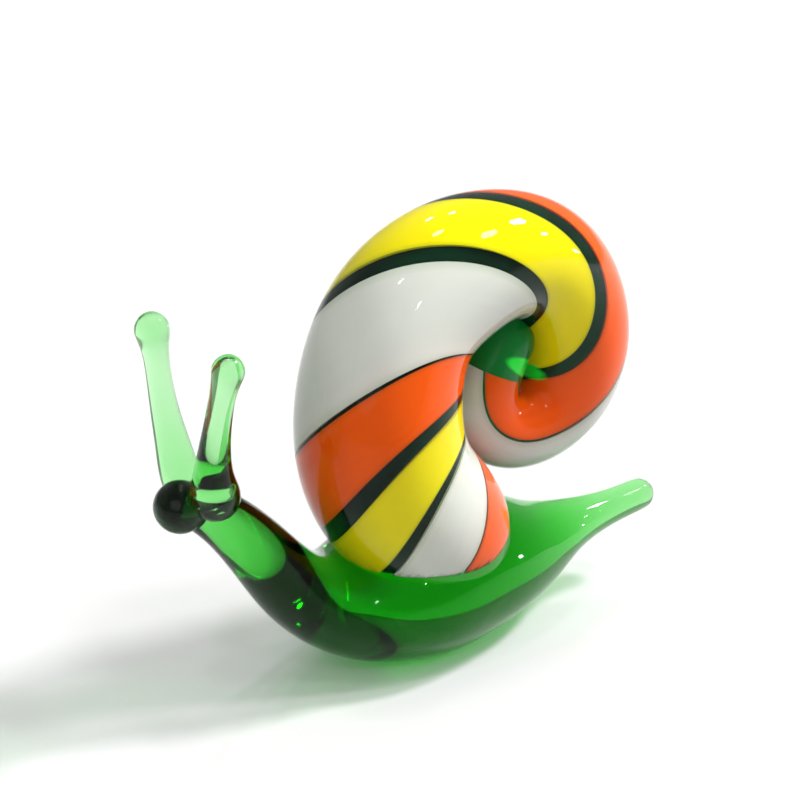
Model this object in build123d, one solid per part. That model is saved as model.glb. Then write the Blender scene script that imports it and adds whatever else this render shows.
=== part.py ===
from build123d import *
import math
import os

# Snail figurine of worked glass, in millimetres
# The head points along -X, the tail along +X, and the snail's left side faces -Y.

# Every table below is in shares of this length
STATION_SIZE = 10.0

# The box around the finished figurine is centred on the origin by this shift
FRAME_SHIFT = Vector(0.1, -0.07, 0)

# Shell cane, station by station from the seat in the foot to the tip in the pit of the coil:
# along, across, up, radius, and the turn of the coloured bands in full turns
SHELL_SHARES = (
    (0.12, -0.06, 0.04, 0.36, -1.53),
    (0.22, -0.04, 0.60, 0.55, -1.13),
    (0.12, -0.08, 1.04, 0.67, -0.77),
    (-0.20, -0.08, 1.36, 0.68, -0.45),
    (-0.40, -0.04, 1.80, 0.69, -0.16),
    (-0.34, 0.06, 2.36, 0.66, 0.11),
    (-0.08, 0.16, 2.88, 0.62, 0.37),
    (0.46, 0.16, 3.16, 0.60, 0.55),
    (1.06, 0.16, 3.18, 0.50, 0.76),
    (1.46, 0.16, 2.90, 0.48, 0.88),
    (1.66, 0.16, 2.38, 0.48, 1.01),
    (1.62, 0.18, 1.90, 0.45, 1.20),
    (1.36, 0.20, 1.62, 0.40, 1.25),
    (1.04, 0.20, 1.58, 0.38, 1.25),
    (0.80, 0.18, 1.72, 0.35, 1.23),
    (0.70, 0.16, 2.00, 0.29, 1.15),
    (0.82, 0.16, 2.30, 0.24, 1.01),
    (1.10, 0.16, 2.58, 0.21, 0.82),
)

# The green core and the bands are shares of the cane's own radius at each station
CORE_SHARE = 0.84
BAND_INNER_SHARE = 0.80
BAND_OUTER_SHARE = 0.90

# Each band's two edges around the section, in shares of a full turn, and the station it ends at
WHITE_EDGE_SHARES = (0.62, 1.00)
YELLOW_EDGE_SHARES = (0.34, 0.56)
ORANGE_EDGE_SHARES = (0.015, 0.27)
BAND_LAST_STATION = 14.8

# The bands crowd together on the near side of the coil and spread on the far side
CROWDING = 0.19
CROWDING_CENTRE_SHARE = 0.18

# Foot, from the neck to the tail: along, up, half width, half height
FOOT_SHARES = (
    (-2.30, 1.96, 0.150, 0.150),
    (-2.05, 1.84, 0.185, 0.185),
    (-1.76, 1.61, 0.235, 0.230),
    (-1.46, 1.23, 0.290, 0.270),
    (-1.15, 0.78, 0.380, 0.320),
    (-0.74, 0.54, 0.560, 0.460),
    (-0.20, 0.59, 0.780, 0.655),
    (0.30, 0.635, 0.720, 0.675),
    (0.76, 0.60, 0.620, 0.515),
    (1.16, 0.56, 0.420, 0.330),
    (1.52, 0.64, 0.210, 0.205),
    (1.94, 0.67, 0.140, 0.135),
    (2.24, 0.70, 0.125, 0.120),
    (2.54, 0.74, 0.125, 0.120),
)

# Stalks of the two tentacles, from the root on the neck to inside the eye bead:
# along, across, up, radius
LEFT_STALK_SHARES = (
    (-1.94, -0.13, 1.84, 0.190),
    (-1.99, -0.22, 2.00, 0.205),
    (-2.06, -0.30, 2.22, 0.150),
    (-2.08, -0.40, 2.56, 0.112),
    (-2.07, -0.49, 2.92, 0.095),
    (-2.04, -0.53, 3.15, 0.094),
    (-2.01, -0.57, 3.38, 0.094),
)
RIGHT_STALK_SHARES = (
    (-2.04, 0.14, 1.84, 0.150),
    (-2.04, 0.24, 2.00, 0.165),
    (-2.035, 0.35, 2.23, 0.134),
    (-2.06, 0.44, 2.56, 0.102),
    (-2.06, 0.50, 2.90, 0.096),
    (-2.06, 0.535, 3.10, 0.098),
    (-2.07, 0.57, 3.30, 0.100),
)

# Beads: along, across, up, radius
HEAD_SHARES = (-2.18, 0.0, 1.85, 0.210)
LEFT_EYE_SHARES = (-2.03, -0.53, 3.16, 0.128)
RIGHT_EYE_SHARES = (-2.07, 0.535, 3.11, 0.138)
TAIL_BEAD_SHARE = 0.13

# Sections per station
CANE_STEPS = 2
BAND_STEPS = 4


def blend(rows, place):
    """Smooth value of a table at a place between its stations (uniform cubic spline)."""
    first = min(int(place), len(rows) - 4)
    f = place - first
    weights = (
        (1 - f) ** 3 / 6,
        (3 * f ** 3 - 6 * f ** 2 + 4) / 6,
        (-3 * f ** 3 + 3 * f ** 2 + 3 * f + 1) / 6,
        f ** 3 / 6,
    )
    return [
        sum(w * row[column] for w, row in zip(weights, rows[first:first + 4]))
        for column in range(len(rows[0]))
    ]


def slope(rows, place):
    """Direction in which a table's values run at a place."""
    first = min(int(place), len(rows) - 4)
    f = place - first
    weights = (
        -(1 - f) ** 2 / 2,
        (3 * f ** 2 - 4 * f) / 2,
        (-3 * f ** 2 + 2 * f + 1) / 2,
        f ** 2 / 2,
    )
    return [
        sum(w * row[column] for w, row in zip(weights, rows[first:first + 4]))
        for column in range(len(rows[0]))
    ]


def point(shares):
    """Point of a table row."""
    return Vector(*shares[:3]) * STATION_SIZE


def section_plane(rows, place):
    """Plane across the path: its x runs outward from the coil, its y to the near side."""
    run = Vector(*slope(rows, place)[:3]).normalized()
    near = Vector(0, -1, 0)
    side = (near - run * near.dot(run)).normalized()
    return Plane(origin=point(blend(rows, place)), x_dir=side.cross(run), z_dir=run)


def last_place(rows):
    """Place of a table's last section."""
    return len(rows) - 3


def places(first, last, steps):
    """Evenly spaced places from first to last."""
    count = math.ceil((last - first) * steps)
    return [first + (last - first) * k / count for k in range(count + 1)]


def rod(rows, radius_share=1.0, steps=CANE_STEPS):
    """Round rod along a table's path."""
    wires = []
    for place in places(0, last_place(rows), steps):
        radius = blend(rows, place)[3] * radius_share * STATION_SIZE
        wires.append(Wire([Edge.make_circle(radius, section_plane(rows, place))]))
    return Solid.make_loft(wires)


def end_cap(rows, place, radius_share=1.0):
    """Half ball that rounds off a rod's end."""
    plane = section_plane(rows, place)
    if place == 0:
        plane = Plane(origin=plane.origin, x_dir=plane.x_dir, z_dir=-plane.z_dir)
    radius = blend(rows, place)[3] * radius_share * STATION_SIZE
    return Solid.make_sphere(radius, plane, 0, 90, 360)


def bead(shares):
    """Ball of glass."""
    return Solid.make_sphere(shares[3] * STATION_SIZE, Plane(origin=point(shares)), -90, 90, 360)


def crowded(turn):
    """Angle in degrees of a band edge, drawn toward the near side of the coil."""
    return 360 * turn - math.degrees(CROWDING * math.sin(math.tau * (turn - CROWDING_CENTRE_SHARE)))


def band(edge_shares):
    """Coloured band that winds along the cane, half sunk in the core."""
    wires = []
    for place in places(0, BAND_LAST_STATION, BAND_STEPS):
        along, across, up, radius, turn = blend(SHELL_SHARES, place)
        plane = section_plane(SHELL_SHARES, place)
        start, end = (crowded(turn + share) for share in edge_shares)
        inner = radius * BAND_INNER_SHARE * STATION_SIZE
        outer = radius * BAND_OUTER_SHARE * STATION_SIZE

        def corner(reach, angle):
            turned = math.radians(angle)
            return plane.from_local_coords(Vector(reach * math.cos(turned), reach * math.sin(turned), 0))

        middle = (start + end) / 2
        wires.append(Wire([
            Edge.make_three_point_arc(corner(outer, start), corner(outer, middle), corner(outer, end)),
            Edge.make_line(corner(outer, end), corner(inner, end)),
            Edge.make_three_point_arc(corner(inner, end), corner(inner, middle), corner(inner, start)),
            Edge.make_line(corner(inner, start), corner(outer, start)),
        ]))
    return Solid.make_loft(wires)


def foot_body():
    """Neck, body and tail, flat underneath."""
    rows = [(along, 0.0, up, half_width, half_height) for along, up, half_width, half_height in FOOT_SHARES]
    wires = []
    for place in places(0, last_place(rows), CANE_STEPS):
        half_width, half_height = (share * STATION_SIZE for share in blend(rows, place)[3:])
        plane = section_plane(rows, place)
        upright = Plane(origin=plane.origin, x_dir=plane.y_dir, z_dir=plane.z_dir)
        wires.append(Wire([Edge.make_ellipse(half_width, half_height, upright)]))
    body = Solid.make_loft(wires)
    tail_end = blend(rows, last_place(rows))
    body = body + bead((*tail_end[:3], TAIL_BEAD_SHARE))
    reach = 10 * STATION_SIZE
    floor = Box(reach, reach, reach, align=(Align.CENTER, Align.CENTER, Align.MAX))
    return body - floor


def largest(cut):
    """The piece itself, without the crumbs that a cut can leave."""
    return cut.solids().sort_by(SortBy.VOLUME)[-1]


def build():
    """All the pieces by name."""
    core_rod = rod(SHELL_SHARES, CORE_SHARE) + end_cap(SHELL_SHARES, last_place(SHELL_SHARES), CORE_SHARE)
    cane = rod(SHELL_SHARES) + end_cap(SHELL_SHARES, last_place(SHELL_SHARES))
    bands = {
        "white_band": band(WHITE_EDGE_SHARES),
        "yellow_band": band(YELLOW_EDGE_SHARES),
        "orange_band": band(ORANGE_EDGE_SHARES),
    }
    core = largest(core_rod - list(bands.values()))
    casing = largest(cane - [core_rod, *bands.values()])
    head = bead(HEAD_SHARES)
    body = foot_body()
    left_stalk = rod(LEFT_STALK_SHARES) + end_cap(LEFT_STALK_SHARES, 0)
    right_stalk = rod(RIGHT_STALK_SHARES) + end_cap(RIGHT_STALK_SHARES, 0)
    return {
        "foot": body - head - cane,
        "head_bead": head,
        "left_tentacle": left_stalk - body - head,
        "right_tentacle": right_stalk - body - head,
        "left_eye": bead(LEFT_EYE_SHARES) - left_stalk,
        "right_eye": bead(RIGHT_EYE_SHARES) - right_stalk,
        "shell_core": core,
        **bands,
        "shell_casing": casing,
    }


os.makedirs("parts", exist_ok=True)
for name, piece in build().items():
    placed = piece.moved(Location(FRAME_SHIFT))
    print(name, len(placed.solids()), round(placed.volume, 2), placed.is_valid, placed.bounding_box())
    export_step(placed, f"parts/{name}.step")
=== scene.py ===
# %% [markdown]
# # A glass snail
#
# The figurine is worked glass: gathers of soft green glass are pulled into a foot, a neck and two
# tentacles, and a fat striped cane is wound into the shell. The imported model gives the frame that
# every piece here has to fit.

# %% The frame
import math

import bpy
from mathutils import Matrix, Vector


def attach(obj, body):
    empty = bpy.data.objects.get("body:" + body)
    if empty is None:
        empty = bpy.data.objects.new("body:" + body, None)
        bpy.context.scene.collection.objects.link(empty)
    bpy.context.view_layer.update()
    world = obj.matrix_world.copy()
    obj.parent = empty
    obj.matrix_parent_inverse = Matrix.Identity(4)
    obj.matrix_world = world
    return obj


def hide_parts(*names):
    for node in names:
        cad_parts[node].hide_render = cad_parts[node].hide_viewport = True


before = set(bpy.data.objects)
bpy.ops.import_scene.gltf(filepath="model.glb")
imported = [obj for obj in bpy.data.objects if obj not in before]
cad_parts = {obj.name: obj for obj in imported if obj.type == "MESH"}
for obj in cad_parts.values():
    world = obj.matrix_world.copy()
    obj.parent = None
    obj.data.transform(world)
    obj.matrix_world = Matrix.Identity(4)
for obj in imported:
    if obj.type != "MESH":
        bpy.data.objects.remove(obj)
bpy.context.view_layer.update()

print("CAD nodes:", sorted(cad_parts))

# %% [markdown]
# ## The stations
#
# Soft glass has no straight edges, so every bar is described by a few stations: where its middle
# is and how thick it is there. Each table is in shares of one length, the station size. The
# surface runs smoothly past the rows as a uniform cubic spline, which is also what a subdivision
# surface does with a cage of rings.

# %% Sizes
MM = 0.001
STATION_SIZE = 10 * MM
FRAME_SHIFT = Vector((0.1, -0.07, 0)) * MM

# Shell cane: along, across, up, radius, and the turn of the ribbons in full turns
SHELL_SHARES = (
    (0.12, -0.06, 0.04, 0.36, -1.53),
    (0.22, -0.04, 0.60, 0.55, -1.13),
    (0.12, -0.08, 1.04, 0.67, -0.77),
    (-0.20, -0.08, 1.36, 0.68, -0.45),
    (-0.40, -0.04, 1.80, 0.69, -0.16),
    (-0.34, 0.06, 2.36, 0.66, 0.11),
    (-0.08, 0.16, 2.88, 0.62, 0.37),
    (0.46, 0.16, 3.16, 0.60, 0.55),
    (1.06, 0.16, 3.18, 0.50, 0.76),
    (1.46, 0.16, 2.90, 0.48, 0.88),
    (1.66, 0.16, 2.38, 0.48, 1.01),
    (1.62, 0.18, 1.90, 0.45, 1.20),
    (1.36, 0.20, 1.62, 0.40, 1.25),
    (1.04, 0.20, 1.58, 0.38, 1.25),
    (0.80, 0.18, 1.72, 0.35, 1.23),
    (0.70, 0.16, 2.00, 0.29, 1.15),
    (0.96, 0.16, 2.42, 0.25, 1.01),
    (1.15, 0.16, 2.62, 0.22, 0.82),
)

# Foot from the neck to the tail: along, up, half width, half height
FOOT_SHARES = (
    (-2.30, 1.96, 0.150, 0.150),
    (-2.05, 1.84, 0.185, 0.185),
    (-1.76, 1.61, 0.235, 0.230),
    (-1.46, 1.23, 0.290, 0.270),
    (-1.15, 0.78, 0.380, 0.320),
    (-0.74, 0.54, 0.560, 0.460),
    (-0.20, 0.59, 0.780, 0.655),
    (0.30, 0.635, 0.720, 0.675),
    (0.76, 0.60, 0.620, 0.515),
    (1.16, 0.56, 0.420, 0.330),
    (1.52, 0.64, 0.210, 0.205),
    (1.94, 0.67, 0.140, 0.135),
    (2.24, 0.70, 0.125, 0.120),
    (2.54, 0.74, 0.125, 0.120),
)

# Tentacle stalks from the neck to the eye bead: along, across, up, radius
LEFT_STALK_SHARES = (
    (-1.94, -0.13, 1.84, 0.190),
    (-1.99, -0.22, 2.00, 0.205),
    (-2.06, -0.30, 2.22, 0.150),
    (-2.08, -0.40, 2.56, 0.112),
    (-2.07, -0.49, 2.92, 0.095),
    (-2.04, -0.53, 3.15, 0.094),
    (-2.01, -0.57, 3.38, 0.094),
)
RIGHT_STALK_SHARES = (
    (-2.04, 0.14, 1.84, 0.150),
    (-2.04, 0.24, 2.00, 0.165),
    (-2.035, 0.35, 2.23, 0.134),
    (-2.06, 0.44, 2.56, 0.102),
    (-2.06, 0.50, 2.90, 0.096),
    (-2.06, 0.535, 3.10, 0.098),
    (-2.07, 0.57, 3.30, 0.100),
)

# Round beads: along, across, up, radius
HEAD_SHARES = (-2.18, 0.0, 1.85, 0.210)
LEFT_EYE_SHARES = (-2.03, -0.53, 3.16, 0.128)
RIGHT_EYE_SHARES = (-2.07, 0.535, 3.11, 0.138)
TAIL_SHARES = (2.235, 0.0, 0.703, 0.130)

print("Shell stations:", len(SHELL_SHARES), "foot stations:", len(FOOT_SHARES))

# %% [markdown]
# ## Pulling a bar
#
# A glassworker pulls a gather by gripping its end. The same is done here: a disc is added at the
# first station, and its face is extruded, turned and resized from station to station. A curve
# with a bevel would also do it, but the extruded cage can be flattened to an ellipse where the
# foot is wide. Three levels of subdivision then turn the cage into the smooth bar.

# %% Sizes that the helpers share
# Points closer than this are one, and an edge sharper than that angle stays an edge
WELD_GAP = 0.001 * MM
SHARP_ANGLE = math.radians(50)
SMOOTHING_LEVELS = 3

print("Points closer than", WELD_GAP / MM, "mm are one")


# %% Take hold of a piece
def settle():
    """Nothing selected, so that an operator acts on the next piece alone."""
    if bpy.context.object and bpy.context.object.mode != "OBJECT":
        bpy.ops.object.mode_set(mode="OBJECT")
    bpy.ops.object.select_all(action="DESELECT")


def grip(piece):
    """The piece alone selected and active."""
    settle()
    piece.select_set(True)
    bpy.context.view_layer.objects.active = piece


def apply_modifier(piece, kind, **settings):
    """Adds a modifier and makes it real."""
    grip(piece)
    modifier = piece.modifiers.new(kind.title(), kind)
    for key, value in settings.items():
        setattr(modifier, key, value)
    bpy.ops.object.modifier_apply(modifier=modifier.name)


# %% Places and directions
def spot(shares):
    """The point of a table row."""
    return Vector(shares[:3]) * STATION_SIZE + FRAME_SHIFT


def section(run):
    """Axes across a bar that runs that way: to the near side, to the inside of a coil, and along."""
    run = run.normalized()
    near = Vector((0, -1, 0))
    side = (near - run * near.dot(run)).normalized()
    return Matrix((side, run.cross(side), run)).transposed()


# Sections that differ by less than this, in radians, need no turn
LEAST_TURN = 1e-6


def turn_to(old, new, centre):
    """Turns what is selected from one section's axes to the next one's."""
    axis, angle = (new @ old.transposed()).to_quaternion().to_axis_angle()
    if angle < LEAST_TURN:
        return
    across = axis.orthogonal().normalized()
    hinge = Matrix((across, axis.cross(across), axis)).transposed()
    bpy.ops.transform.rotate(
        value=angle, orient_axis="Z", orient_type="GLOBAL", orient_matrix=hinge,
        orient_matrix_type="GLOBAL", constraint_axis=(False, False, True), center_override=centre,
    )


print("First row of the shell in mm:", spot(SHELL_SHARES[0]) / MM)

# %% Rings
# A ring has this many corners, and the smooth bar lies at this share of their reach
RING_CORNERS = 16
RING_SHRINK = (2 + math.cos(math.tau / RING_CORNERS)) / 3

# A round end is drawn in rings this far apart, and lies inside them by the same rule
END_STEP = math.radians(30)
END_SHRINK = (2 + math.cos(END_STEP)) / 3
END_LAST = math.radians(80)


def round_end(centre, run, radius, first_step):
    """Centres and radii of the rings of a bulb, from so many steps past its widest ring."""
    angles = [step * END_STEP for step in range(first_step, 3)] + [END_LAST]
    reach = radius / END_SHRINK
    centres = [centre + run.normalized() * reach * math.sin(angle) for angle in angles]
    return centres, [reach * math.cos(angle) for angle in angles]


print("The smooth bar lies at", round(RING_SHRINK, 4), "of its cage's reach")


# %% Pull a bar from ring to ring
def pulled(name, centres, half_sizes):
    """A bar through the centres, with a half width and a half height at each."""
    axes = []
    for index in range(len(centres)):
        before = centres[max(index - 1, 0)]
        after = centres[min(index + 1, len(centres) - 1)]
        axes.append(section(after - before))
    width, height = (size / RING_SHRINK for size in half_sizes[0])
    settle()
    bpy.ops.mesh.primitive_circle_add(
        vertices=RING_CORNERS, radius=1, fill_type="NGON", location=centres[0],
        rotation=axes[0].to_euler(),
    )
    bar = bpy.context.object
    bar.name = name
    bpy.ops.object.transform_apply(location=True, rotation=True, scale=True)
    bpy.ops.object.mode_set(mode="EDIT")
    bpy.ops.mesh.select_all(action="SELECT")
    bpy.ops.mesh.flip_normals()
    bpy.ops.transform.resize(
        value=(width, height, 1), orient_type="GLOBAL", orient_matrix=axes[0],
        orient_matrix_type="GLOBAL", center_override=centres[0],
    )
    bpy.ops.mesh.select_mode(type="FACE")
    for index in range(1, len(centres)):
        step = centres[index] - centres[index - 1]
        bpy.ops.mesh.extrude_region_move(TRANSFORM_OT_translate={"value": step})
        turn_to(axes[index - 1], axes[index], centres[index])
        new_width, new_height = (size / RING_SHRINK for size in half_sizes[index])
        bpy.ops.transform.resize(
            value=(new_width / width, new_height / height, 1), orient_type="GLOBAL",
            orient_matrix=axes[index], orient_matrix_type="GLOBAL", center_override=centres[index],
        )
        width, height = new_width, new_height
    bpy.ops.mesh.select_all(action="SELECT")
    bpy.ops.mesh.normals_make_consistent(inside=False)
    bpy.ops.object.mode_set(mode="OBJECT")
    apply_modifier(bar, "SUBSURF", levels=SMOOTHING_LEVELS, render_levels=SMOOTHING_LEVELS)
    print(name, "has", len(bar.data.polygons), "faces")
    return bar


# %% [markdown]
# ## Foot, stalks and beads
#
# The foot is one bar from the neck to the tail: round at the neck, wide and low under the shell,
# thin again in the raised tail. The two stalks grow out of the neck, and each swells into its eye
# bead. The head bead is a ball. The underside is cut flat, because the real one has to stand.

# %% Pull the green bars
foot_rows = FOOT_SHARES[:-1]
foot_centres = [spot((along, 0, up)) for along, up, width, height in foot_rows]
foot_sizes = [(width * STATION_SIZE, height * STATION_SIZE) for along, up, width, height in foot_rows]
tail_run = foot_centres[-1] - foot_centres[-2]
tail_centres, tail_radii = round_end(spot(TAIL_SHARES), tail_run, TAIL_SHARES[3] * STATION_SIZE, 0)
tail_sizes = [(radius, radius) for radius in tail_radii]
foot = pulled("green_body", foot_centres[:-1] + tail_centres, foot_sizes[:-1] + tail_sizes)


def tentacle(name, rows, eye):
    """A stalk that swells into its eye bead."""
    stalk = [row for row in rows if row[2] < eye[2] - eye[3]]
    centres = [spot(row) for row in stalk]
    bulb_centres, bulb_radii = round_end(spot(eye), spot(eye) - centres[-1], eye[3] * STATION_SIZE, -1)
    radii = [row[3] * STATION_SIZE for row in stalk] + bulb_radii
    return pulled(name, centres + bulb_centres, [(radius, radius) for radius in radii])


left_tentacle = tentacle("left_stalk", LEFT_STALK_SHARES, LEFT_EYE_SHARES)
right_tentacle = tentacle("right_stalk", RIGHT_STALK_SHARES, RIGHT_EYE_SHARES)

# %% Add the head bead
BEAD_SEGMENTS = 96

settle()
bpy.ops.mesh.primitive_uv_sphere_add(
    segments=BEAD_SEGMENTS, ring_count=BEAD_SEGMENTS // 2, radius=HEAD_SHARES[3] * STATION_SIZE,
    location=spot(HEAD_SHARES),
)
head = bpy.context.object
head.name = "head_ball"
bpy.ops.object.transform_apply(location=True, rotation=True, scale=True)
bpy.ops.object.shade_smooth()
print("Head bead:", len(head.data.polygons), "faces")

# %% Cut the underside flat
grip(foot)
bpy.ops.object.mode_set(mode="EDIT")
bpy.ops.mesh.select_all(action="SELECT")
bpy.ops.mesh.bisect(
    plane_co=(0, 0, 0), plane_no=(0, 0, 1), use_fill=True, clear_inner=True, threshold=WELD_GAP,
)
bpy.ops.object.mode_set(mode="OBJECT")
print("Lowest point of the foot in mm:", min(vertex.co.z for vertex in foot.data.vertices) / MM)

# %% [markdown]
# ## Joining them
#
# On the real snail these bars were stuck to each other hot, so there is no skin between them. A
# boolean union would make one closed skin, but the pieces could then not be handed on one by one.
# Each tentacle is cut off just under the skin of the foot instead, by a copy of the foot that is
# a little smaller. The cut face gets a finish of its own, which doesn't bend light. The head bead
# is left whole, and the end of the neck runs into it.

# %% Make the cutter
SEAT_DEPTH = 0.10 * MM

grip(foot)
bpy.ops.object.shade_smooth_by_angle(angle=SHARP_ANGLE)
settle()
cutter = foot.copy()
cutter.data = foot.data.copy()
bpy.context.scene.collection.objects.link(cutter)
apply_modifier(cutter, "DISPLACE", strength=-SEAT_DEPTH, mid_level=0)
joint_slot = bpy.data.materials.new("joint_glass")
cutter.data.materials.clear()
cutter.data.materials.append(joint_slot)
print("The cutter lies", SEAT_DEPTH / MM, "mm under the foot's skin")


# %% Seat the tentacles on the neck
def material_named(name):
    """The material of that name, made when it is first asked for."""
    return bpy.data.materials.get(name) or bpy.data.materials.new(name)


def seated(piece, glass_name):
    """Cuts a clear piece off at the foot, with the cut face in the joint's finish."""
    piece.data.materials.append(material_named(glass_name))
    piece.data.materials.append(joint_slot)
    apply_modifier(
        piece, "BOOLEAN", operation="DIFFERENCE", object=cutter, solver="EXACT", material_mode="TRANSFER",
    )
    bpy.ops.object.shade_smooth_by_angle(angle=SHARP_ANGLE)
    print(piece.name, "after the cut:", len(piece.data.polygons), "faces")


for stalk in (left_tentacle, right_tentacle):
    seated(stalk, "stalk_green")

# %% [markdown]
# ## Winding the shell
#
# The shell is one thick cane, bent into a flat coil that ends in its own middle. A straight
# cylinder with a Curve modifier would bend it, but its thickness has to follow the stations, and
# the ribbons laid on it need the same centre line. A grid is rolled around the centre line
# instead: its width goes round the cane, its length runs along it, and its last stretch closes
# over the tip as half a ball.


# %% Place a point on the cane
def weights_at(rows, place):
    """The four rows around a place, and how much each counts there and in the direction."""
    first = min(int(place), len(rows) - 4)
    f = place - first
    value = (
        (1 - f) ** 3 / 6,
        (3 * f ** 3 - 6 * f ** 2 + 4) / 6,
        (-3 * f ** 3 + 3 * f ** 2 + 3 * f + 1) / 6,
        f ** 3 / 6,
    )
    trend = (
        -(1 - f) ** 2 / 2,
        (3 * f ** 2 - 4 * f) / 2,
        (-3 * f ** 2 + 2 * f + 1) / 2,
        f ** 2 / 2,
    )
    return rows[first:first + 4], value, trend


def mixed(rows, shares, column):
    """One column of the rows, mixed by their shares."""
    return sum(share * row[column] for share, row in zip(shares, rows))


LAST_PLACE = len(SHELL_SHARES) - 3
RADIUS_COLUMN = 3
TURN_COLUMN = 4


def on_cane(place, angle, reach):
    """A point at that share of the cane's radius; past the last place it lies on the round tip."""
    rows, value, trend = weights_at(SHELL_SHARES, min(place, LAST_PLACE))
    centre = spot([mixed(rows, value, column) for column in range(3)])
    axes = section(Vector([mixed(rows, trend, column) for column in range(3)]))
    radius = mixed(rows, value, RADIUS_COLUMN) * STATION_SIZE * reach
    over = max(place - LAST_PLACE, 0) * math.pi / 2
    side, outward, run = axes.col
    around = outward * -math.cos(angle) + side * math.sin(angle)
    return centre + around * radius * math.cos(over) + run * radius * math.sin(over)


def ribbon_turn(place):
    """Turn of the ribbons at a place, in full turns."""
    rows, value, trend = weights_at(SHELL_SHARES, min(place, LAST_PLACE))
    return mixed(rows, value, TURN_COLUMN)


print("The cane ends at place", LAST_PLACE)

# %% Roll a grid around the cane
RINGS_PER_STATION = 12
CANE_LINES = 72
CASING_REACH_SHARE = 1.0
CORE_REACH_SHARE = 0.84


def rolled(name, lines, last, point):
    """A grid whose every corner is moved to its point: share across, place along."""
    settle()
    bpy.ops.mesh.primitive_grid_add(
        x_subdivisions=lines, y_subdivisions=round(last * RINGS_PER_STATION), size=1, calc_uvs=True,
    )
    sheet = bpy.context.object
    sheet.name = name
    for corner in sheet.data.vertices:
        corner.co = point(corner.co.x + 0.5, (corner.co.y + 0.5) * last)
    return sheet


def cane(name, reach):
    """The whole cane as a closed bar, at a share of its radius."""

    def point(share, place):
        return on_cane(place, share * math.tau, reach)

    bar = rolled(name, CANE_LINES, LAST_PLACE + 1, point)
    grip(bar)
    bpy.ops.object.mode_set(mode="EDIT")
    bpy.ops.mesh.select_all(action="SELECT")
    bpy.ops.mesh.remove_doubles(threshold=WELD_GAP)
    bpy.ops.mesh.select_mode(type="EDGE")
    bpy.ops.mesh.select_all(action="DESELECT")
    bpy.ops.mesh.select_non_manifold()
    bpy.ops.mesh.edge_face_add()
    bpy.ops.mesh.select_all(action="SELECT")
    bpy.ops.mesh.normals_make_consistent(inside=False)
    bpy.ops.object.mode_set(mode="OBJECT")
    bpy.ops.object.shade_smooth_by_angle(angle=SHARP_ANGLE)
    print(name, "has", len(bar.data.polygons), "faces")
    return bar


casing = cane("shell_glass", CASING_REACH_SHARE)
core = cane("shell_heart", CORE_REACH_SHARE)

# %% [markdown]
# ## The coloured ribbons
#
# Three ribbons of opaque glass lie on the core, under the clear casing: white, yellow and orange.
# They could be painted on the core, but a real ribbon has a thickness that shows at its edges
# under clear glass. Each one is a grid rolled along the cane between its two edges, and Solidify
# gives it its thickness inward. The lines are drawn together on the near side of the coil.

# %% Lay the ribbons
RIBBON_REACH_SHARE = 0.90
RIBBON_THICKNESS = 0.45 * MM
RIBBON_LINES = 24

# The place on the cane where the ribbons end
RIBBON_LAST = 14.4

# The most that a line moves around the cane, in radians, and the turn that it moves toward
CROWDING = 0.19
CROWDING_CENTRE_SHARE = 0.18

# The two edges of each ribbon, in shares of a full turn
RIBBON_EDGE_SHARES = {
    "white_ribbon": (0.62, 1.00),
    "yellow_ribbon": (0.34, 0.56),
    "orange_ribbon": (0.015, 0.27),
}


def crowded(turn):
    """Angle of a line on the cane, drawn toward the near side of the coil."""
    return math.tau * turn - CROWDING * math.sin(math.tau * (turn - CROWDING_CENTRE_SHARE))


def ribbon(name, edges):
    """One coloured ribbon, from the seat to just short of the tip."""
    start, end = edges

    def point(share, place):
        turn = ribbon_turn(place) + start + (end - start) * share
        return on_cane(place, crowded(turn), RIBBON_REACH_SHARE)

    strip = rolled(name, RIBBON_LINES, RIBBON_LAST, point)
    grip(strip)
    bpy.ops.object.mode_set(mode="EDIT")
    bpy.ops.mesh.select_all(action="SELECT")
    bpy.ops.mesh.normals_make_consistent(inside=False)
    bpy.ops.object.mode_set(mode="OBJECT")
    apply_modifier(strip, "SOLIDIFY", thickness=RIBBON_THICKNESS, offset=-1)
    bpy.ops.object.shade_smooth_by_angle(angle=SHARP_ANGLE)
    print(name, "has", len(strip.data.polygons), "faces")
    return strip


ribbons = {name: ribbon(name, edges) for name, edges in RIBBON_EDGE_SHARES.items()}

# %% [markdown]
# ## Where the shell sinks into the foot
#
# The shell was pressed into the hot foot, so clear and green glass are one there, with no skin
# between them. Casing, heart and ribbons are all cut off just under the foot's surface, by the
# copy of the foot that cut the tentacles. Without the cut, their hidden ends would show through
# the green glass.

# %% Cut the shell at the seat
seated(casing, "casing_glass")
for piece in (core, *ribbons.values()):
    apply_modifier(piece, "BOOLEAN", operation="DIFFERENCE", object=cutter, solver="EXACT")
    print(piece.name, "after the cut:", len(piece.data.polygons), "faces")
bpy.data.objects.remove(cutter)

# %% [markdown]
# ## Finishes
#
# Shader maths reads like school maths: a small class holds a node's output and turns differences
# and products of outputs into Math nodes. One method of the material adds every other node.


# %% Outputs that can be reckoned with
class Output:
    """One output of a node, which differences and products can be made of."""

    def __init__(self, finish, socket):
        self.finish = finish
        self.socket = socket

    def math(self, operation, *values):
        return self.finish.node("Math", {"operation": operation}, dict(enumerate(values)))

    def __sub__(self, other):
        return self.math("SUBTRACT", self, other)

    def __rsub__(self, other):
        return self.math("SUBTRACT", other, self)

    def __mul__(self, other):
        return self.math("MULTIPLY", self, other)

    def __rmul__(self, other):
        return self.math("MULTIPLY", other, self)

    def magnitude(self):
        """Without its sign."""
        return self.math("ABSOLUTE", self)

    def clamped(self):
        """Kept between 0 and 1."""
        return self.math("MINIMUM", self.math("MAXIMUM", self, 0.0), 1.0)


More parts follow.
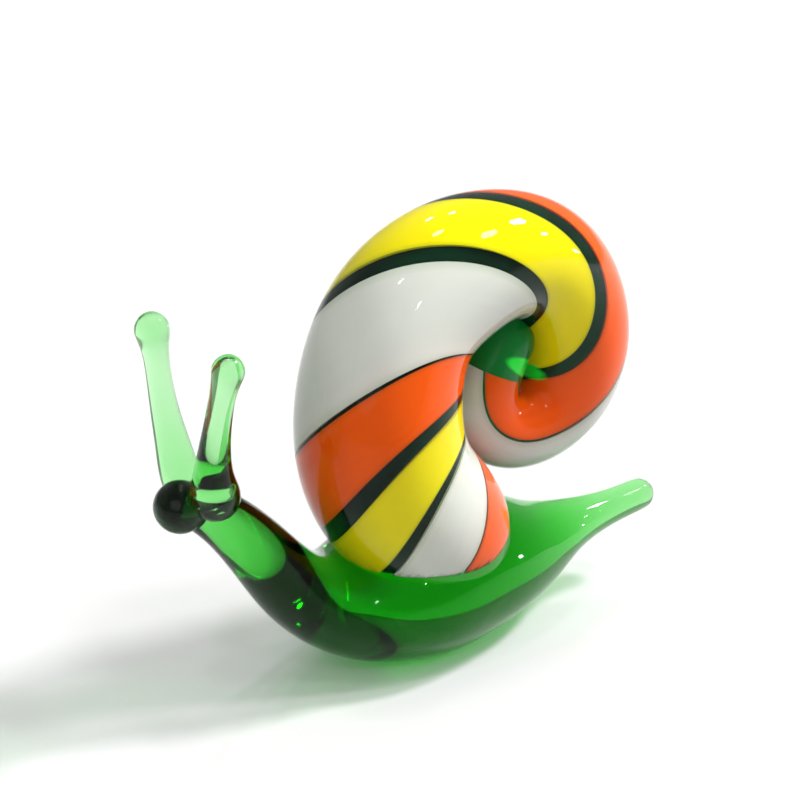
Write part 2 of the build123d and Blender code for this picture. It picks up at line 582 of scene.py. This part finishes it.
# %% A material built node by node
class Finish:
    """A material whose nodes are added one by one."""

    def __init__(self, name):
        self.material = material_named(name)
        self.material.use_nodes = True
        self.tree = self.material.node_tree
        self.tree.nodes.clear()

    def node(self, kind, settings=None, inputs=None, output=0):
        """Adds a node, its settings first and then the values or links of its sockets."""
        made = self.tree.nodes.new("ShaderNode" + kind)
        for key, value in (settings or {}).items():
            setattr(made, key, value)
        for key, value in (inputs or {}).items():
            if isinstance(value, Output):
                self.tree.links.new(value.socket, made.inputs[key])
            else:
                made.inputs[key].default_value = value
        return Output(self, made.outputs[output])

    def blend(self, share, first, second):
        """A colour between two others."""
        inputs = {0: share, 6: first, 7: second}
        return self.node("Mix", {"data_type": "RGBA"}, inputs, output=2)

    def finish(self, surface, volume=None):
        """Ends the material in its output."""
        end = self.tree.nodes.new("ShaderNodeOutputMaterial")
        self.tree.links.new(surface.socket, end.inputs["Surface"])
        if volume:
            self.tree.links.new(volume.socket, end.inputs["Volume"])
        return self.material

# %% [markdown]
# ## Glass
#
# The green of the foot comes from its depth: thin stalks are pale, the thick body is nearly
# black. A tinted surface can't do that, so the colour is an absorption inside the glass. Shadow
# rays pass through tinted instead of being bent, or the shadows would be black and full of noise.

# %% Green and clear glass
# A joint has no skin: at an index of 1 it neither bends nor mirrors light
GLASS_INDEX = 1.5
JOINT_INDEX = 1.0

# How strongly a skin mirrors, as a share of untinted glass
GLASS_SHINE_SHARE = 0.3
HEAD_SHINE_SHARE = 0.45
FULL_SHINE_SHARE = 1.0

# What a shadow keeps of red, green and blue at each skin that it passes
GREEN_SHADOW_SHARES = (0.66, 0.60, 0.66)
CLEAR_SHADOW_SHARES = (0.96, 0.96, 0.96)
JOINT_SHADOW_SHARES = (1.0, 1.0, 1.0)

# What the dye leaves of red, green and blue, and how dense it is in each piece, per metre
GREEN_LEFT_SHARES = (0.12, 0.83, 0.09)
BODY_DENSITY = 540.0
STALK_DENSITY = 400.0
HEAD_DENSITY = 4500.0


def glass(name, shine, shadow, index=GLASS_INDEX, density=0.0):
    """Clear glass, or green glass where it has a density."""
    made = Finish(name)
    skin = made.node("BsdfPrincipled", None, {
        "Base Color": (1, 1, 1, 1), "Roughness": 0.0, "IOR": index, "Transmission Weight": 1.0,
        "Specular Tint": (shine, shine, shine, 1),
    })
    open_way = made.node("BsdfTransparent", None, {"Color": (*shadow, 1)})
    is_shadow = made.node("LightPath", None, None, output="Is Shadow Ray")
    surface = made.node("MixShader", None, {0: is_shadow, 1: skin, 2: open_way})
    volume = None
    if density:
        volume = made.node("VolumeAbsorption", None, {"Color": (*GREEN_LEFT_SHARES, 1), "Density": density})
    return made.finish(surface, volume)


body_glass = glass("bottle_green", GLASS_SHINE_SHARE, GREEN_SHADOW_SHARES, density=BODY_DENSITY)
head_glass = glass("deep_green", HEAD_SHINE_SHARE, GREEN_SHADOW_SHARES, density=HEAD_DENSITY)
stalk_glass = glass("stalk_green", GLASS_SHINE_SHARE, GREEN_SHADOW_SHARES, density=STALK_DENSITY)
casing_glass = glass("casing_glass", GLASS_SHINE_SHARE, CLEAR_SHADOW_SHARES)
joint_glass = glass("joint_glass", FULL_SHINE_SHARE, JOINT_SHADOW_SHARES, index=JOINT_INDEX)
head.data.materials.append(head_glass)
foot.data.materials.clear()
foot.data.materials.append(body_glass)
for made in (body_glass, head_glass, stalk_glass, casing_glass, joint_glass):
    print("Glass:", made.name, "with", len(made.node_tree.nodes), "nodes")

# %% [markdown]
# ## Opaque glass
#
# The ribbons were pulled out together with the cane, so their colour runs in long faint streaks,
# and their thin edges let the green core through.


# %% The painted light in the coil: a bright green patch painted where light shines through the green glass
# Middle of the painted light, the directions of its length, width and depth, and half of each
PAINTED_LIGHT_MIDDLE = Vector((10.7, 0.2, 21.7)) * MM
PAINTED_LIGHT_AXES = Matrix(((0.69, -0.65, -0.31), (0.52, 0.15, 0.84), (-0.50, -0.75, 0.44))).transposed()
PAINTED_LIGHT_SIZE = Vector((2.3, 0.85, 4.0)) * MM
# The colour of the painted light, and how steeply it fades at its rim
PAINTED_LIGHT_GREEN = (0.02, 0.90, 0.06, 1)
PAINTED_LIGHT_STEEPNESS = 5


def with_painted_light(made, colour):
    """Paints a bright green patch over the colour, standing for light that shines through the green glass
    in the coil.
    """
    solid_place = made.node("TexCoord", None, None, output="Object")
    inside = made.node("Mapping", {"vector_type": "TEXTURE"}, {
        "Vector": solid_place, "Location": PAINTED_LIGHT_MIDDLE, "Rotation": PAINTED_LIGHT_AXES.to_euler(),
        "Scale": PAINTED_LIGHT_SIZE,
    })
    away = made.node("VectorMath", {"operation": "LENGTH"}, {0: inside}, output=1)
    return made.blend(((1 - away) * PAINTED_LIGHT_STEEPNESS).clamped(), colour, PAINTED_LIGHT_GREEN)


print("Half the length of the smear in mm:", round(PAINTED_LIGHT_SIZE.x / MM, 1))

# %% The ribbons' colours
# Streaks: how often they come across and along a ribbon, and how they are drawn from the noise
STREAK_SCALE = (9, 3, 1)
STREAK_DETAIL = 3.0
STREAK_CONTRAST = 1.6
STREAK_START_SHARE = 0.5
STREAK_MOST_SHARE = 0.6

# Thin edges: how far they reach in from the edge, how steeply they end, and how much they show
EDGE_REACH_SHARE = 0.16
EDGE_STEEPNESS = 6
EDGE_MOST_SHARE = 0.5

# The ribbons' own roughness, under the casing
RIBBON_ROUGHNESS = 0.35

# Main colour, streaks and thin edges of each ribbon
RIBBON_COLOURS = {
    "white_ribbon": ((0.66, 0.68, 0.63, 1), (0.60, 0.63, 0.57, 1), (0.35, 0.45, 0.33, 1)),
    "yellow_ribbon": ((0.76, 0.675, 0.002, 1), (0.80, 0.70, 0.008, 1), (0.28, 0.34, 0.01, 1)),
    "orange_ribbon": ((0.80, 0.095, 0.004, 1), (0.84, 0.14, 0.008, 1), (0.30, 0.06, 0.01, 1)),
}


def opaque(name, main, streak, edge):
    """Opaque glass pulled lengthwise, with thinner edges."""
    made = Finish(name)
    place = made.node("TexCoord", None, None, output="UV")
    across = made.node("SeparateXYZ", None, {0: place}, output=0)
    pulled_out = made.node("Mapping", None, {"Vector": place, "Scale": STREAK_SCALE})
    noise = made.node("TexNoise", None, {
        "Vector": pulled_out, "Scale": 1.0, "Detail": STREAK_DETAIL, "Roughness": 0.5,
    })
    from_edge = 1 - (across * 2 - 1).magnitude()
    thin = ((EDGE_REACH_SHARE - from_edge) * EDGE_STEEPNESS).clamped()
    streaks = (noise * STREAK_CONTRAST - STREAK_START_SHARE).clamped() * STREAK_MOST_SHARE
    streaked = made.blend(streaks, main, streak)
    colour = made.blend(thin * EDGE_MOST_SHARE, streaked, edge)
    # The ribbons' colour carries the painted light of the coil
    surface = made.node("BsdfPrincipled", None, {
        "Base Color": with_painted_light(made, colour), "Roughness": RIBBON_ROUGHNESS, "Specular IOR Level": 0.0,
    })
    return made.finish(surface)


for name, colours in RIBBON_COLOURS.items():
    finish = opaque(name.replace("ribbon", "opaque"), *colours)
    ribbons[name].data.materials.append(finish)
    print(name, "is finished in", finish.name)

# %% [markdown]
# ## The green heart
#
# The core of the cane is green glass too, so deep that it looks black between the ribbons. Where
# the cane gets thin towards its tip, light comes through and it turns bright green. Here that is
# a colour that changes along the cane, which costs less than light sent through real depth.

# %% The green heart of the cane
HEART_BLACK = (0.003, 0.012, 0.007, 1)
HEART_GREEN = (0.006, 0.075, 0.028, 1)
HEART_BRIGHT = (0.010, 0.32, 0.045, 1)
HEART_CLOUD = (0.004, 0.05, 0.02, 1)
HEART_ROUGHNESS = 0.3

# Where along the cane each lighter green starts, and how steeply it comes
GREEN_START_SHARE = 0.48
GREEN_STEEPNESS = 4
BRIGHT_START_SHARE = 0.76
BRIGHT_STEEPNESS = 5

# Clouds in the glass: how many to a metre, and how they are drawn from the noise
CLOUD_SCALE = 260.0
CLOUD_DETAIL = 3.0
CLOUD_CONTRAST = 2
CLOUD_START_SHARE = 0.6
CLOUD_MOST_SHARE = 0.6

heart = Finish("heart_glass")
uv = heart.node("TexCoord", None, None, output="UV")
along = heart.node("SeparateXYZ", None, {0: uv}, output=1)
place = heart.node("TexCoord", None, None, output="Object")
noise = heart.node("TexNoise", None, {"Vector": place, "Scale": CLOUD_SCALE, "Detail": CLOUD_DETAIL})
to_green = ((along - GREEN_START_SHARE) * GREEN_STEEPNESS).clamped()
to_bright = ((along - BRIGHT_START_SHARE) * BRIGHT_STEEPNESS).clamped()
clouds = (noise * CLOUD_CONTRAST - CLOUD_START_SHARE).clamped() * CLOUD_MOST_SHARE
green = heart.blend(to_green, HEART_BLACK, HEART_GREEN)
bright = heart.blend(to_bright, green, HEART_BRIGHT)
cloudy = heart.blend(clouds, bright, HEART_CLOUD)
# The heart's colour carries the painted light of the coil too
surface = heart.node("BsdfPrincipled", None, {
    "Base Color": with_painted_light(heart, cloudy), "Roughness": HEART_ROUGHNESS, "Specular IOR Level": 0.0,
})
core.data.materials.append(heart.finish(surface))
print("The heart's finish has", len(heart.tree.nodes), "nodes")

# %% [markdown]
# ## Joining the frame
#
# Nothing on the figurine moves, so every piece rides on the one body of the model.

# %% Ride on the frame
# Each piece, the finish slot that it takes, and the nodes that it stands for
STANDS_FOR = (
    (foot, "green_glass", ("foot",)),
    (left_tentacle, "green_glass", ("left_tentacle", "left_eye")),
    (right_tentacle, "green_glass", ("right_tentacle", "right_eye")),
    (head, "green_glass", ("head_bead",)),
    (casing, "clear_glass", ("shell_casing",)),
    (core, "core_glass", ("shell_core",)),
    (ribbons["white_ribbon"], "white_glass", ("white_band",)),
    (ribbons["yellow_ribbon"], "yellow_glass", ("yellow_band",)),
    (ribbons["orange_ribbon"], "orange_glass", ("orange_band",)),
)
for piece, slot, nodes in STANDS_FOR:
    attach(piece, "root")
    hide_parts(*nodes)
    print(piece.name, "stands for", nodes)

# %% [markdown]
# ## The studio
#
# A pale table, an evenly bright room and a few small lamps: glass shows mostly what it reflects.
# The key lamp throws the long shadow, and the small bulbs give the sparks on the shell.

# %% Table
FLOOR_SIZE = 3000 * MM
FLOOR_GAP = 0.02 * MM
FLOOR_GREY = (0.9, 0.9, 0.9, 1)
FLOOR_ROUGHNESS = 0.6

settle()
bpy.ops.mesh.primitive_plane_add(size=FLOOR_SIZE, location=(0, 0, -FLOOR_GAP))
floor = bpy.context.object
floor.name = "table"
pale = Finish("table_finish")
matt = pale.node("BsdfPrincipled", None, {"Base Color": FLOOR_GREY, "Roughness": FLOOR_ROUGHNESS})
floor.data.materials.append(pale.finish(matt))
print("The table lies", FLOOR_GAP / MM, "mm under the foot")

# %% Lights
ROOM_STRENGTH = 0.40
LAMP_AIM = Vector((0, 0, 18)) * MM

# Each lamp's direction, distance, size across, and power in watts
LAMPS = {
    "key": ((0.70, -0.14, 0.70), 580 * MM, 80 * MM, 2.1),
    "softbox": ((0.48, -0.33, 0.81), 550 * MM, 85 * MM, 0.6),
    "top": ((0.10, 0.17, 0.98), 550 * MM, 60 * MM, 0.25),
    "fill": ((-0.67, -0.53, 0.53), 650 * MM, 500 * MM, 0.5),
}

# The small bulbs differ in direction alone
BULB_DISTANCE = 500 * MM
BULB_SIZE = 30 * MM
BULB_POWER = 0.12
BULBS = {
    "bulb_back": (0.20, 0.63, 0.75),
    "bulb_front": (-0.37, -0.21, 0.90),
    "bulb_side": (0.90, -0.42, 0.10),
    "bulb_far": (0.33, 0.50, 0.80),
    "bulb_near": (-0.13, -0.78, 0.61),
    "bulb_right": (0.82, -0.37, 0.43),
}


def lamp(name, direction, distance, size, power):
    """A round flat lamp that faces the figurine."""
    settle()
    towards = Vector(direction).normalized()
    bpy.ops.object.light_add(
        type="AREA", location=LAMP_AIM + towards * distance,
        rotation=towards.to_track_quat("Z", "Y").to_euler(),
    )
    light = bpy.context.object
    light.name = name
    light.data.shape = "DISK"
    light.data.size = size
    light.data.energy = power


world = bpy.data.worlds.new("room")
bpy.context.scene.world = world
world.use_nodes = True
background = world.node_tree.nodes["Background"]
background.inputs["Color"].default_value = (1.0, 1.0, 1.0, 1)
background.inputs["Strength"].default_value = ROOM_STRENGTH
for name, settings in LAMPS.items():
    lamp(name, *settings)
for name, direction in BULBS.items():
    lamp(name, direction, BULB_DISTANCE, BULB_SIZE, BULB_POWER)
print("Lamps:", len(LAMPS), "and bulbs:", len(BULBS))

# %% [markdown]
# ## The camera
#
# It stands a little above the snail, in front of its left side. A long lens from further off would
# flatten the view, so the distance is chosen with the direction, and the lens follows from how
# large the snail has to appear.

# %% Camera
AZIMUTH = math.radians(-34)
ELEVATION = math.radians(26)
DISTANCE = 280 * MM
AIM_POINT = Vector((2.2, 0, 18.5)) * MM + FRAME_SHIFT

# Lens and sensor are set in millimetres as they are
LENS_LENGTH = 157.5
SENSOR_WIDTH = 36
NEAREST_SEEN = 10 * MM

# Where the aim point lies in the picture, in pixels
IMAGE_SIZE = 800
AIM_PIXEL = (440, 430)

back = Vector((
    math.sin(AZIMUTH) * math.cos(ELEVATION),
    -math.cos(AZIMUTH) * math.cos(ELEVATION),
    math.sin(ELEVATION),
))
right = Vector((0, 0, 1)).cross(back).normalized()
settle()
bpy.ops.object.camera_add(location=AIM_POINT + back * DISTANCE)
camera = bpy.context.object
camera.rotation_euler = Matrix((right, back.cross(right), back)).transposed().to_euler()
camera.data.lens = LENS_LENGTH
camera.data.sensor_width = SENSOR_WIDTH
camera.data.shift_x = (IMAGE_SIZE / 2 - AIM_PIXEL[0]) / IMAGE_SIZE
camera.data.shift_y = (AIM_PIXEL[1] - IMAGE_SIZE / 2) / IMAGE_SIZE
camera.data.clip_start = NEAREST_SEEN
bpy.context.scene.camera = camera
bpy.context.scene.view_settings.view_transform = "Standard"
print("The camera stands", DISTANCE / MM, "mm away")
